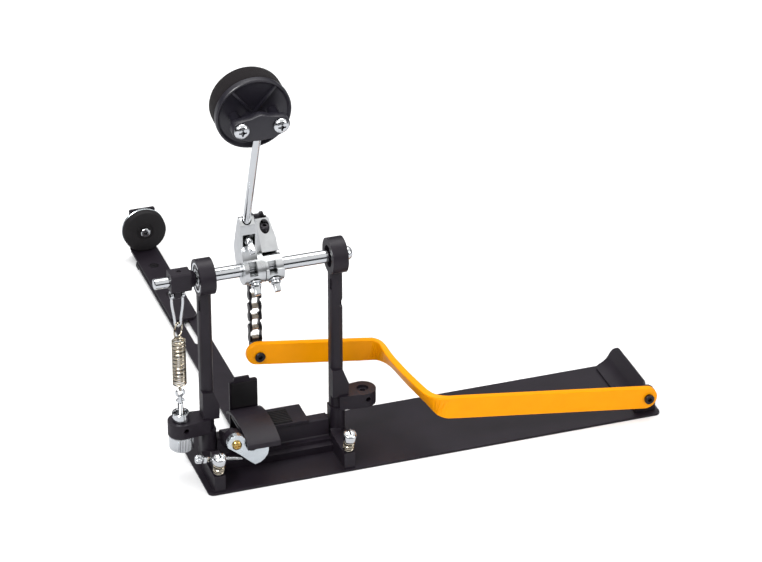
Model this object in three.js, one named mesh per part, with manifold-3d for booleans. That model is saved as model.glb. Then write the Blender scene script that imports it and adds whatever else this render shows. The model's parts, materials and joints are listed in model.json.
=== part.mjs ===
// Single chain-drive foot pedal for a cajon: steel foot plate, side lever, chain and cam, spring-loaded
// shaft with a foam beater, edge clamp, spurs, and a sliding rear arm with a rubber grip disc.
// Millimetres, +Z up. Drafting axes start at the plate's front left corner; the whole group is then
// shifted so that the origin is the middle of the plate's underside.
import * as THREE from 'three';
import { mergeVertices } from 'three/addons/utils/BufferGeometryUtils.js';
import Module from 'manifold-3d';

const wasm = await Module();
wasm.setup();

// ---- driving dimensions ----
const PLATE = { length: 500, width: 113, thick: 2.5, corner: 6 };
const SHAFT = { y: 58, z: 225, r: 6.8, journal: 6, stub: 5.5 };
const UPRIGHTS = { left: 16.5, right: 156.4 };          // column centres along X
const HOUSING = { r: 19, width: 16.4, seat: 10.4 };
const BEARING = { r: 15.8, width: 10, bore: 6.3 };
const COLUMN = { width: 13.6, front: 52, back: 64 };
const LUG = { reach: 28.5, r: 14, z0: 45.5, z1: 61.5 };
const SPUR = { inset: 4.2, y: 8, z: 20.5, tilt: 16, screw: 3, head: 7.3 };
const LEVER = { thick: 6.5, half: 12.5, pivotX: 485, pivotZ: 22.8, frontY: 3.5, backY: 100.2, rearY: 100.2 };
const CHAIN = { x: 85.5, pitch: 12.7, radius: 55, width: 13.7, plate: 1.5, height: 9.4, roller: 4 };
const CAM = { x0: 78.3, x1: 97.6, r: 49, hub: 15.5 };
const CLAMP = { x0: 55.9, x1: 77.5, armX1: 71.5 };
const ROD = { x: 63.7, lean: 20.5, p: 22.4, r: 4, q0: 6, q1: 182 };
const HEAD = { r: 39, tilt: 6, dy: -25.4, dz: 189.5, foam: 24 };
const ARM = { x: 74.8, lower: 32, upper: 30, thick: 3, z0: 2.8, start: 95, end: 494, near: 345, far: 518 };
const DISC = { z: 34.5, r: 25, y0: 507, thick: 8 };
const GAP = 0.3;

const rad = THREE.MathUtils.degToRad;
const V = (x, y, z) => new THREE.Vector3(x, y, z);

// ---- materials ----
const finish = (color, roughness, metalness) => () =>
  new THREE.MeshStandardMaterial({ color, roughness, metalness });
const blackPaint = finish(0x2a282c, 0.45, 0.4);
const chrome = finish(0xd8dade, 0.15, 1);
const castAlloy = finish(0xc9ccce, 0.3, 1);
const zinc = finish(0xe4e8ea, 0.35, 0.9);
const brass = finish(0xc9a24a, 0.25, 1);
const orange = finish(0xf7a512, 0.35, 0.1);
const rubber = finish(0x1b1a1c, 0.85, 0);
const plastic = finish(0x2b2a30, 0.5, 0);
const foam = finish(0x2c2a2c, 0.95, 0);
const darkSteel = finish(0x26262a, 0.4, 0.8);

// ---- solid helpers ----
function solid(geometry) {
  const g = geometry.index ? geometry.toNonIndexed() : geometry.clone();
  for (const name of Object.keys(g.attributes)) if (name !== 'position') g.deleteAttribute(name);
  const merged = mergeVertices(g, 1e-4);
  const mesh = new wasm.Mesh({
    numProp: 3,
    vertProperties: new Float32Array(merged.attributes.position.array),
    triVerts: new Uint32Array(merged.index.array),
  });
  return new wasm.Manifold(mesh);
}

const join = (...solids) => solids.reduce((a, b) => a.add(b));
const cut = (body, ...tools) => tools.reduce((a, b) => a.subtract(b), body);

function box(x0, x1, y0, y1, z0, z1) {
  const g = new THREE.BoxGeometry(x1 - x0, y1 - y0, z1 - z0);
  g.translate((x0 + x1) / 2, (y0 + y1) / 2, (z0 + z1) / 2);
  return solid(g);
}

// cylinder or cone between two points
function rod(a, b, r, sides = 18, rEnd = r) {
  const axis = b.clone().sub(a);
  const g = new THREE.CylinderGeometry(rEnd, r, axis.length(), sides);
  g.applyQuaternion(new THREE.Quaternion().setFromUnitVectors(V(0, 1, 0), axis.clone().normalize()));
  const middle = a.clone().add(b).multiplyScalar(0.5);
  g.translate(middle.x, middle.y, middle.z);
  return solid(g);
}

// turned shape: profile of [radius, height] from the axis back to the axis, or closed, about origin + axis
function turned(profile, origin, axis, sides = 20) {
  const g = new THREE.LatheGeometry(profile.map(([r, h]) => new THREE.Vector2(r, h)), sides);
  g.applyQuaternion(new THREE.Quaternion().setFromUnitVectors(V(0, 1, 0), axis.clone().normalize()));
  g.translate(origin.x, origin.y, origin.z);
  return solid(g);
}

// flat outline swept along a world axis; outline is [y, z] for x, [x, z] for y and [x, y] for z
function prism(axis, outline, from, to) {
  const shape = new THREE.Shape(outline.map(([u, v]) => new THREE.Vector2(u, v)));
  const g = new THREE.ExtrudeGeometry(shape, { depth: to - from, bevelEnabled: false });
  const m = new THREE.Matrix4();
  if (axis === 'x') m.makeBasis(V(0, 1, 0), V(0, 0, 1), V(1, 0, 0)).setPosition(from, 0, 0);
  if (axis === 'y') m.makeBasis(V(1, 0, 0), V(0, 0, 1), V(0, -1, 0)).setPosition(0, to, 0);
  if (axis === 'z') m.setPosition(0, 0, from);
  return solid(g.applyMatrix4(m));
}

// points of an arc, in degrees
function arc(cx, cy, r, a0, a1, n = 10, ry = r) {
  return Array.from({ length: n + 1 }, (_, i) => {
    const a = rad(a0 + ((a1 - a0) * i) / n);
    return [cx + r * Math.cos(a), cy + ry * Math.sin(a)];
  });
}

function roundedRect(x0, x1, y0, y1, r) {
  return [
    ...arc(x1 - r, y0 + r, r, -90, 0, 4), ...arc(x1 - r, y1 - r, r, 0, 90, 4),
    ...arc(x0 + r, y1 - r, r, 90, 180, 4), ...arc(x0 + r, y0 + r, r, 180, 270, 4),
  ];
}

// wire bent along a smooth path
function wire(points, r, steps, sides = 8) {
  const path = new THREE.CatmullRomCurve3(points, false, 'centripetal');
  const section = new THREE.Shape(arc(0, 0, r, 0, 360, sides).slice(0, sides).map((p) => new THREE.Vector2(...p)));
  return solid(new THREE.ExtrudeGeometry(section, { steps, extrudePath: path, bevelEnabled: false }));
}

function ringAt(center, normal, radius, r) {
  const g = new THREE.TorusGeometry(radius, r, 6, 18);
  g.applyQuaternion(new THREE.Quaternion().setFromUnitVectors(V(0, 0, 1), normal.clone().normalize()));
  g.translate(center.x, center.y, center.z);
  return solid(g);
}

// skin through a row of equal closed sections
function loft(sections) {
  const n = sections[0].length;
  const position = sections.flat().flatMap((p) => [p.x, p.y, p.z]);
  const index = [];
  for (let s = 0; s + 1 < sections.length; s++) {
    for (let i = 0; i < n; i++) {
      const a = s * n + i;
      const b = s * n + ((i + 1) % n);
      index.push(a, b + n, b, a, a + n, b + n);
    }
  }
  const last = (sections.length - 1) * n;
  for (let i = 1; i + 1 < n; i++) index.push(0, i, i + 1, last, last + i + 1, last + i);
  const g = new THREE.BufferGeometry();
  g.setAttribute('position', new THREE.Float32BufferAttribute(position, 3));
  g.setIndex(index);
  return solid(g);
}

// ---- node helpers ----
const pedal = new THREE.Group();
pedal.position.set(-PLATE.length / 2, -PLATE.width / 2, 0);

function node(name, body, material) {
  const { vertProperties, triVerts } = body.getMesh();
  const g = new THREE.BufferGeometry();
  g.setAttribute('position', new THREE.BufferAttribute(new Float32Array(vertProperties), 3));
  g.setIndex(new THREE.BufferAttribute(new Uint32Array(triVerts), 1));
  g.computeVertexNormals();
  const mesh = new THREE.Mesh(g, material());
  mesh.name = name;
  pedal.add(mesh);
}

// points in the plane across the shaft, from its axis: straight, and turned by the rod's lean
const atShaft = (x, y, z) => V(x, SHAFT.y + y, SHAFT.z + z);
const lean = rad(ROD.lean);
const leaned = (p, q) => [p * Math.cos(lean) - q * Math.sin(lean), p * Math.sin(lean) + q * Math.cos(lean)];
const atLean = (x, p, q) => atShaft(x, ...leaned(p, q));
const shaftOutline = (points) => points.map(([y, z]) => [SHAFT.y + y, SHAFT.z + z]);

// ---- base plate, heel stop and lever bracket ----
const spurAxis = V(0, -Math.sin(rad(SPUR.tilt)), Math.cos(rad(SPUR.tilt)));
const spurX = { left: UPRIGHTS.left - SPUR.inset, right: UPRIGHTS.right - SPUR.inset };
const spurPoint = (x, t) => V(x, SPUR.y, SPUR.z).addScaledVector(spurAxis, t);
const spurHoles = Object.values(spurX).map((x) => rod(spurPoint(x, -30), spurPoint(x, 10), SPUR.screw + 0.5, 16));

function basePlate() {
  const plate = prism('z', roundedRect(0, PLATE.length, 0, PLATE.width, PLATE.corner), 0, PLATE.thick);
  node('base_plate', cut(plate, ...spurHoles), blackPaint);
}

function heelStop() {
  const z = PLATE.thick;
  const start = 468;
  const bend = 20;
  const slope = 62;
  const run = 14.6;
  const sheet = 2.2;
  const c = [start + 0.5, z + bend];
  const tip = (r) => {
    const [x, y] = arc(...c, r, -90 + slope, -90 + slope, 1)[0];
    return [x + run * Math.cos(rad(slope)), y + run * Math.sin(rad(slope))];
  };
  const profile = [
    [start, z], ...arc(...c, bend, -90, -90 + slope, 9), tip(bend),
    tip(bend - sheet), ...arc(...c, bend - sheet, -90 + slope, -90, 9), [start, z + sheet],
  ];
  const corner = 10;
  const trimLow = prism('z', [[start - 1, 112.1], [start - 1, 104], ...arc(start + 8, 104, 8, 180, 90, 6)], 0, 60);
  const top = tip(bend)[1];
  const trimTop = prism('x', [[112.1, top + 1], ...arc(102, top - corner, corner, 0, 90, 6), [102, top + 1]], 470, 520);
  const trimFront = prism('x', [[21.9, top + 1], [32, top + 1], ...arc(32, top - corner, corner, 90, 180, 6)], 470, 520);
  node('heel_stop', cut(prism('y', profile, 22, 112), trimLow, trimTop, trimFront), blackPaint);
}

function pivotBracket() {
  const { pivotX: x, pivotZ: z } = LEVER;
  const ear = prism('y', [[x - 12, PLATE.thick], [x + 11, PLATE.thick], ...arc(x - 0.5, z, 11.5, 0, 180, 8)], 7.4, 11);
  const foot = box(x - 12, x + 11, 7.4, 20, PLATE.thick, 5);
  const hole = rod(V(x, 5, z), V(x, 14, z), 3.9);
  node('pivot_bracket', cut(join(ear, foot), hole), blackPaint);
  const head = rod(V(x, -3.6, z), V(x, -0.2, z), 5.3, 24);
  const shank = rod(V(x, -0.2, z), V(x, 17.5, z), 3.5, 20);
  const nut = rod(V(x, 11.3, z), V(x, 16.2, z), 6.2, 6);
  const socket = rod(V(x, -5, z), V(x, -1.8, z), 2.6, 6);
  node('lever_pivot_bolt', cut(join(head, shank, nut), socket), darkSteel);
  const bush = turned([[3.8, 0.5], [5.2, 0.5], [5.2, 6.9], [7, 6.9], [7, 7.2], [3.8, 7.2], [3.8, 0.5]], V(x, 0, z), V(0, 1, 0));
  node('lever_pivot_bush', bush, brass);
}

// ---- uprights with bearing housing, spring lug and spur foot ----
function upright(side) {
  const x = UPRIGHTS[side];
  const out = side === 'left' ? -1 : 1;
  const w = COLUMN.width / 2;
  const d = COLUMN.back - COLUMN.front;
  const column = prism('z', [
    [x + w, COLUMN.back], [x - w, COLUMN.back], ...arc(x, COLUMN.front + d / 2, w, 180, 360, 10, d / 2),
  ], 20, SHAFT.z - 17);
  const housing = rod(V(x - HOUSING.width / 2, SHAFT.y, SHAFT.z), V(x + HOUSING.width / 2, SHAFT.y, SHAFT.z), HOUSING.r, 36);
  const lugX = x + out * LUG.reach;
  const a = out < 0 ? [90, 270] : [-90, 90];
  const lug = prism('z', [
    ...arc(lugX, SHAFT.y, LUG.r, ...a, 12),
    [x, SHAFT.y + out * 11], [x, SHAFT.y - out * 11],
  ], LUG.z0, LUG.z1);
  const gusset = prism('y', [[x - 7, LUG.z1 - 1], [x + 10.3, LUG.z1 - 1], [x + 11, 75], [x + 4.6, 92], [x - 7, 93]], 49.5, 60);
  const boss = prism('z', [[x + 8, 66], [x - 8, 66], ...arc(x, 56, 8, 180, 360, 10, 7.5)], 18, LUG.z0 + 1);
  const heel = box(x - 8, x + 8, 46, 70, PLATE.thick, 20);
  const sx = spurX[side];
  const foot = prism('x', [[2, PLATE.thick], [50, PLATE.thick], [50, 24], [44, 21], [3, 20.5], [2, 19.5]], sx - 5.8, sx + 5.8);
  let body = join(column, housing, lug, gusset, boss, heel, foot);

  const seat0 = out < 0 ? x - HOUSING.width / 2 - 1 : x + HOUSING.width / 2 - HOUSING.seat;
  const seat = rod(V(seat0, SHAFT.y, SHAFT.z), V(seat0 + HOUSING.seat + 1, SHAFT.y, SHAFT.z), BEARING.r + 0.1, 28);
  const bore = rod(V(x - 12, SHAFT.y, SHAFT.z), V(x + 12, SHAFT.y, SHAFT.z), 11.5, 24);
  const lugHole = rod(V(lugX, SHAFT.y, 40), V(lugX, SHAFT.y, 70), 3.4, 20);
  const counterbore = rod(V(lugX, SHAFT.y, LUG.z1 - 3), V(lugX, SHAFT.y, 70), 6.4, 24);
  const crossHole = rod(V(lugX + 2, 40, 54.5), V(lugX + 2, 53, 54.5), 2.8, 16);
  const slotZ = 193;
  const sideSlot = box(x - w - 1, x - w + 1.6, 54.5, 57.5, slotZ - 6, slotZ + 6);
  const edgeSlot = rod(V(x + w - 1, 45, 169), V(x + w + 2, 60, 169), 5, 16);
  const cuts = [seat, bore, lugHole, crossHole, sideSlot, rod(spurPoint(sx, -30), spurPoint(sx, 10), SPUR.screw + 0.5, 16)];
  if (side === 'right') cuts.push(counterbore, edgeSlot);
  if (side === 'left') {
    body = join(body, prism('x', [[14.5, 19], [26.5, 19], [26.5, 36], [24, 38.5], [16, 38.5], [14.5, 36]], sx - 3, sx + 5.8));
    cuts.push(rod(TBOLT.start, TBOLT.end, TBOLT.r + 0.4, 16));
  }
  node(`${side}_upright`, cut(body, ...cuts), blackPaint);

  const r = BEARING.r;
  const b0 = out < 0 ? x - HOUSING.width / 2 + 0.2 : x + HOUSING.width / 2 - BEARING.width - 0.2;
  const race = turned([
    [BEARING.bore, 0], [r, 0], [r, BEARING.width], [BEARING.bore, BEARING.width], [BEARING.bore, 0],
  ], V(b0, SHAFT.y, SHAFT.z), V(1, 0, 0), 28);
  node(`${side}_bearing`, race, chrome);
}

// ---- cross beam with the clamp's forward boss, platform and jaw ----
const HOOK = { x: 35, z: 46, y0: 16, y1: 22.5, boss: 10 };
const TBOLT = { start: V(-8, 20, 34.8), end: V(41.5, 20, 26.5), r: 2.3 };
const ROCKER = { x0: 45, x1: 80, y: 60, z: 45.5 };

function crossBeam() {
  const z = PLATE.thick;
  const web = prism('x', [
    [40, z], [66, z], [66, 34.5], [56, 34.5], [54.5, 33], [53, 16], [52, 15], [46, 14.6], [46, 11], [45, 10.6], [40, 10],
  ], UPRIGHTS.left + 8 + GAP, UPRIGHTS.right - 10 - GAP);
  const boss = rod(V(HOOK.x, 24, HOOK.z), V(HOOK.x, 34, HOOK.z), 9.2, 28);
  const arm = prism('x', [[33, 38], [33, 52], [57, 42], [57, 30], [40, 30]], 28, 42);
  const screwHole = rod(V(HOOK.x, 20, HOOK.z), V(HOOK.x, 40, HOOK.z), 2.8, 16);
  node('cross_beam', cut(join(web, boss, arm), screwHole), blackPaint);
}

function platform() {
  const top = 38;
  const table = box(50, 124, 52, 86, 34.5, top);
  const lug = prism('x', [[54, top - 1], [66, top - 1], ...arc(ROCKER.y, ROCKER.z, 4.2, 0, 180, 8)], 57, 69);
  const hole = rod(V(40, ROCKER.y, ROCKER.z), V(90, ROCKER.y, ROCKER.z), 2.6, 16);
  node('platform_plate', cut(join(table, lug), hole), blackPaint);
  node('grip_pad', prism('z', roundedRect(82, 107, 54, 79, 1.5), top, top + 1.8), rubber);
  const jaw = prism('y', [
    [50, 5], [50, 74], [52, 75.5], [54.5, 75.5], [55.5, 79.5], [71.5, 79.5], [72.5, 75.5], [78.5, 75.5], [80.5, 74], [80.5, 5],
  ].reverse(), 90.6, 93.6);
  const jawFoot = box(50, 80.5, 78, 93.6, PLATE.thick, 5);
  node('clamp_jaw', join(jaw, jawFoot), blackPaint);
  node('jaw_pad', prism('y', roundedRect(52, 79.5, 44, 73.5, 1.5), 89.2, 90.6), rubber);
}

// ---- edge clamp: rocker, hook lever and adjusting bolt ----
function clampRocker() {
  const top = [[88, 42.5], [82, 47], [74, 50.3], [62, 53], [50, 54], [38, 53.6], [26, 52], [14, 48.8], [9.5, 46.5]];
  const under = top.slice(0, -1).map(([y, z]) => [y, z - 3]).reverse();
  const plate = prism('x', [...top, [9.5, 41], [12.2, 41], [13, 45.2], ...under], ROCKER.x0, ROCKER.x1);
  const ears = [50, 72.5].map((x) => prism('x', [
    [55, 51.2], ...arc(ROCKER.y, ROCKER.z, 5, 180, 360, 8), [65, 50.6],
  ], x, x + 3.5));
  const hole = rod(V(40, ROCKER.y, ROCKER.z), V(90, ROCKER.y, ROCKER.z), 2.6, 16);
  node('clamp_rocker', cut(join(plate, ...ears), hole), blackPaint);
  node('rocker_pivot_pin', rod(V(48.5, ROCKER.y, ROCKER.z), V(77.5, ROCKER.y, ROCKER.z), 2.4, 16), darkSteel);
}

function hookLever() {
  const outline = [
    ...arc(HOOK.x, HOOK.z + 1, HOOK.boss, 20, 200, 12), [28.5, 41.5], [38.4, 33.4], [49, 23.2], [54.5, 18.8],
    [60, 20.4], [64.5, 23.6], [68, 28.5], [69.4, 34], [69, 38.6], [67, 40],
    [61, 39.6], [57, 37.6], [53.4, 36], [49.4, 36.2], [46, 38.8], [44.6, 42.5],
  ];
  const hole = rod(V(HOOK.x, 10, HOOK.z), V(HOOK.x, 30, HOOK.z), 2.8, 16);
  node('hook_lever', cut(prism('y', outline, HOOK.y0, HOOK.y1), hole), zinc);
  const head = turned([[0, 0], [2.5, 0], [2.5, 14], [5.2, 14], [5.2, 15.4], [3.6, 16.8], [0, 17.2]],
    V(HOOK.x, HOOK.y0 + 13.7, HOOK.z), V(0, -1, 0), 20);
  const recess = [box(HOOK.x - 3, HOOK.x + 3, 10, 14, HOOK.z - 0.6, HOOK.z + 0.6),
    box(HOOK.x - 0.6, HOOK.x + 0.6, 10, 14, HOOK.z - 3, HOOK.z + 3)];
  node('hook_screw', cut(head, ...recess), brass);
}

function clampBolt() {
  const along = TBOLT.end.clone().sub(TBOLT.start).normalize();
  const at = (t) => TBOLT.start.clone().addScaledVector(along, t);
  const shank = rod(at(2), TBOLT.end, TBOLT.r, 16);
  const knob = rod(at(0), at(6), 4.4, 20);
  const square = rod(at(8), at(14), 4.6, 4);
  node('clamp_bolt', join(shank, knob, square), chrome);
}

// ---- spur screws and their springs ----
function spur(side) {
  const x = spurX[side];
  const shank = rod(spurPoint(x, -14), spurPoint(x, 19), SPUR.screw, 16);
  const tip = rod(spurPoint(x, -18.5), spurPoint(x, -14), 0.6, 16, SPUR.screw);
  const head = turned([[0, 17.8], [6.6, 17.8], [SPUR.head, 18.5], [SPUR.head, 24], [5.8, 26.4], [0, 27]],
    spurPoint(x, 0), spurAxis, 16);
  const slot = box(x - 1, x + 1, -20, 20, 40, 60).subtract(rod(spurPoint(x, -20), spurPoint(x, 24.6), 30, 12));
  node(`${side}_spur_screw`, cut(join(shank, tip, head), slot), chrome);
  const coil = turned([[4.3, 2.3], [5.9, 2.3], [5.9, 17.4], [4.3, 17.4], [4.3, 2.3]], spurPoint(x, 0), spurAxis, 20);
  node(`${side}_spur_spring`, coil, brass);
}

// ---- shaft, spring rocker, stirrup, spring and its anchor ----
function shaft() {
  const profile = [[0, -36], [4.9, -36], [SHAFT.stub, -35.3], [SHAFT.stub, 7.2], [SHAFT.journal, 7.2], [SHAFT.journal, 22.5],
    [SHAFT.r, 22.5], [SHAFT.r, 150], [SHAFT.journal, 150], [SHAFT.journal, 165.4], [0, 165.4]];
  node('drive_shaft', turned(profile, V(0, SHAFT.y, SHAFT.z), V(1, 0, 0), 20), chrome);
  const cap = [[0, 165.7], [7.2, 165.7], [7.2, 169], [6, 172.2], [3.4, 173.8], [0, 174.3]];
  node('shaft_end_cap', turned(cap, V(0, SHAFT.y, SHAFT.z), V(1, 0, 0), 28), chrome);
}

const SPRING = { x: -12, pinZ: -15.5, bendZ: -46, half: 5.9, neck: 3, top: 157, bottom: 103, r: 7.4 };

function springRocker() {
  const block = prism('x', shaftOutline([
    [-8.7, -8.5], [-7.7, -9.5], [7.7, -9.5], [8.7, -8.5], [8.7, 9], [7.2, 10.5], [-7.2, 10.5], [-8.7, 9],
  ]), -20, 1.5);
  const tongue = prism('x', shaftOutline([[-4.5, -8], ...arc(0, SPRING.pinZ, 4.5, 180, 360, 8), [4.5, -8]]), -15.2, -8.8);
  const collar = rod(atShaft(1, 0, 0), atShaft(6.2, 0, 0), 10, 24, 7.6);
  const bore = rod(atShaft(-25, 0, 0), atShaft(10, 0, 0), SHAFT.stub + 0.1, 28);
  const pinHole = rod(atShaft(-25, 0, SPRING.pinZ), atShaft(0, 0, SPRING.pinZ), 1.7, 12);
  const screwHole = rod(atShaft(-9.5, 0, 4), atShaft(-9.5, 0, 12), 2.4, 12);
  node('spring_rocker', cut(join(block, tongue, collar), bore, pinHole, screwHole), blackPaint);
  node('rocker_set_screw', rod(atShaft(-9.5, 0, 5.8), atShaft(-9.5, 0, 9.6), 2.2, 6), darkSteel);
  node('rocker_pin', rod(atShaft(-20.4, 0, SPRING.pinZ), atShaft(-3.6, 0, SPRING.pinZ), 1.6, 12), darkSteel);
}

function stirrup() {
  const { x, pinZ, bendZ, half, neck } = SPRING;
  const bend = arc(x, bendZ - 3, neck, 180, 360, 6).map(([u, v]) => atShaft(u, 0, v));
  const path = [atShaft(x - half, 0, pinZ - 3), atShaft(x - half, 0, pinZ - 12), ...bend,
    atShaft(x + half, 0, pinZ - 12), atShaft(x + half, 0, pinZ - 3)];
  const eyes = [x - half, x + half].map((u) => cut(
    rod(atShaft(u - 1.3, 0, pinZ), atShaft(u + 1.3, 0, pinZ), 4.4, 20),
    rod(atShaft(u - 3, 0, pinZ), atShaft(u + 3, 0, pinZ), 2.95, 20)));
  node('spring_stirrup', join(wire(path, 1.3, 20, 6), ...eyes), chrome);
}

function tensionSpring() {
  const { x, bendZ, top, bottom, r } = SPRING;
  const coil = turned([
    [r, bottom], [r, top], [2.4, top + 4], [0, top + 4], [0, top - 3], [5.4, top - 3], [5.4, bottom], [r, bottom],
  ], V(x, SHAFT.y, 0), V(0, 0, 1), 20);
  const loopTop = SHAFT.z + bendZ - 3 - SPRING.neck + 3.2;
  const loop = ringAt(V(x, SHAFT.y, loopTop - 8.2), V(0.7, -0.7, 0), 8.2, 0.95);
  node('tension_spring', join(coil, loop), brass);
}

function springAnchor() {
  const { x } = SPRING;
  const { y } = SHAFT;
  const cross = prism('y', [[x - 4.6, 84], [x + 4.6, 84], [x + 4.6, 85.6], [x + 2, 87], [x - 2, 87], [x - 4.6, 85.6]], y - 1, y + 1);
  const eye = ringAt(V(x, y, 94), V(0, 1, 0), 4, 1.3);
  node('spring_eye_rod', join(rod(V(x, y, 25.5), V(x, y, 90.4), 3, 16), cross, eye), chrome);
  const cup = turned([[3.4, 61.8], [9, 61.8], [9.2, 63], [9.2, 71], [6.4, 71], [6.2, 66], [3.4, 66], [3.4, 61.8]],
    V(x, y, 0), V(0, 0, 1), 28);
  node('spring_cup_nut', cup, chrome);
  const nut = turned([[3.4, 28], [12.2, 28], [13, 29], [13, 43], [12.2, 45], [3.4, 45], [3.4, 28]], V(x, y, 0), V(0, 0, 1), 32);
  node('spring_thumb_nut', nut, chrome);
}

// ---- castings on the shaft ----
const boltDir = V(0, -0.76, -0.65).normalize();

function clampBolts() {
  const squareBolt = (x) => {
    const at = (t) => atShaft(x, boltDir.y * t, boltDir.z * t);
    const washer = rod(at(15.2), at(17.2), 7, 20);
    return join(washer, rod(at(17), at(20.5), 5, 20), rod(at(20), at(29), 4.3, 4));
  };
  node('beater_clamp_bolt', squareBolt(67), chrome);
  node('cam_clamp_bolt', squareBolt(88), chrome);
}

function beaterClamp() {
  const hub = rod(atShaft(CLAMP.x0, 0, 0), atShaft(CLAMP.x1, 0, 0), 15.5, 28);
  const outline = [
    [-8, 4], [-5.5, 11], [-1, 16.5], [3.5, 21.5], [9, 24.2], [12.8, 37.5], [16.4, 45.6], [17.4, 47.4], [25, 51.6], [28, 50],
    [29.2, 33], [29.2, 6], [20, -6], [8, -13],
  ];
  const arm = prism('x', shaftOutline(outline.map(([p, q]) => leaned(p, q))), CLAMP.x0, CLAMP.armX1);
  const bore = rod(atShaft(CLAMP.x0 - 5, 0, 0), atShaft(CLAMP.x1 + 5, 0, 0), SHAFT.r + 0.1, 28);
  const rodBore = join(rod(atLean(ROD.x, ROD.p, -30), atLean(ROD.x, ROD.p, 70), ROD.r + 0.25, 20),
    rod(atLean(ROD.x, ROD.p, 44), atLean(ROD.x, ROD.p, 70), ROD.r + 0.9, 20));
  const window = box(60.8, 69.4, SHAFT.y - 20, SHAFT.y - 6, SHAFT.z - 1, SHAFT.z + 12.6);
  const pocket = prism('x', shaftOutline([[-20, 24.8], [15.4, 24.8], [15.4, 38], [-20, 38]].map(([p, q]) => leaned(p, q))), 58, 71);
  const keyHole = rod(atLean(ROD.x, 8, 31.5), atLean(ROD.x, ROD.p, 31.5), 2.6, 12);
  const flat = rod(atShaft(67, boltDir.y * 15.1, boltDir.z * 15.1), atShaft(67, boltDir.y * 22, boltDir.z * 22), 7.6, 20);
  node('beater_clamp', cut(join(hub, arm), bore, rodBore, window, pocket, keyHole, flat), castAlloy);
  const key = join(
    rod(atLean(ROD.x, ROD.p - ROD.r - 0.6, 31.5), atLean(ROD.x, 10, 31.5), 2.3, 12),
    rod(atLean(ROD.x, 13, 31.5), atLean(ROD.x, 7, 31.5), 4.1, 16),
    rod(atLean(ROD.x, 8, 31.5), atLean(ROD.x, -6, 31.5), 3.9, 4));
  node('rod_key_bolt', key, chrome);
}

const atCap = (t) => atShaft(86.6, 17.35 - 0.15 * t, 36.7 + 0.9887 * t);

function chainCam() {
  const hub = rod(atShaft(CAM.x0, 0, 0), atShaft(CAM.x1, 0, 0), CAM.hub, 28);
  const sector = prism('x', shaftOutline([
    [0, -12], [20, -12], ...arc(0, 0, CAM.r, -6, 63, 15), [2.8, 14.6], [4, 10], [0, 10],
  ]), 79, 92.5);
  const face = prism('x', shaftOutline([[2.8, 14.6], [20, 12], [28, 38], [22.2, 43.6]]), 79, 96.4);
  const taper = prism('y', [[97, SHAFT.z + 13], [97, SHAFT.z + 60], [88, SHAFT.z + 60], [96.4, SHAFT.z + 26]].reverse(),
    SHAFT.y - 5, SHAFT.y + 40);
  const bore = rod(atShaft(CAM.x0 - 5, 0, 0), atShaft(CAM.x1 + 5, 0, 0), SHAFT.r + 0.1, 28);
  const undercut = prism('x', shaftOutline([[-16, 3], [12, 3], [12, 12.2], [2.8, 14.6], [2.8, 17], [-16, 17]]), 77, 99)
    .subtract(rod(atShaft(70, 0, 0), atShaft(100, 0, 0), 12.2, 28));
  const window = box(81.6, 90, SHAFT.y - 20, SHAFT.y - 6, SHAFT.z - 2, SHAFT.z + 9.6);
  const flat = rod(atShaft(88, boltDir.y * 15.1, boltDir.z * 15.1), atShaft(88, boltDir.y * 22, boltDir.z * 22), 7.6, 20);
  const capHole = join(rod(atCap(-7.2), atCap(20), 5.2, 20), rod(atCap(-16.4), atCap(0), 2.8, 16));
  const topHole = rod(atShaft(84, 18.6, 31), atShaft(84, 30, 52), 2.4, 16);
  node('chain_cam', cut(join(hub, sector, face.subtract(taper)), bore, undercut, window, flat, capHole, topHole), castAlloy);
  const cap = join(rod(atCap(-7), atCap(1), 4.8, 20), rod(atCap(-16), atCap(-6.8), 2.5, 12));
  node('cam_cap_screw', cut(cap, rod(atCap(-2), atCap(5), 2.6, 6)), darkSteel);
}

// ---- chain: one short body per link, laid round the cam or hanging from it ----
const stepAngle = CHAIN.pitch / CHAIN.radius;

// link centred at an angle above the cam's rear point; below it the chain hangs straight
function link(place, length) {
  const x0 = CHAIN.x - CHAIN.width / 2;
  const plates = [x0, x0 + CHAIN.width - CHAIN.plate].map((x) => {
    const g = new THREE.BoxGeometry(CHAIN.plate, CHAIN.height, length).translate(x + CHAIN.plate / 2, 0, 0);
    return solid(g.applyMatrix4(place));
  });
  const pin = new THREE.CylinderGeometry(CHAIN.roller, CHAIN.roller, CHAIN.width - 2 * CHAIN.plate + 0.4, 8);
  pin.rotateZ(Math.PI / 2).translate(CHAIN.x, 0, 0);
  return join(...plates, solid(pin.applyMatrix4(place)));
}

function onCam(angle) {
  const m = new THREE.Matrix4().makeRotationX(angle);
  m.setPosition(0, SHAFT.y + CHAIN.radius * Math.cos(angle), SHAFT.z + CHAIN.radius * Math.sin(angle));
  return m;
}

const hanging = (drop) => new THREE.Matrix4().makeTranslation(0, SHAFT.y + CHAIN.radius, SHAFT.z - drop);

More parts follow.
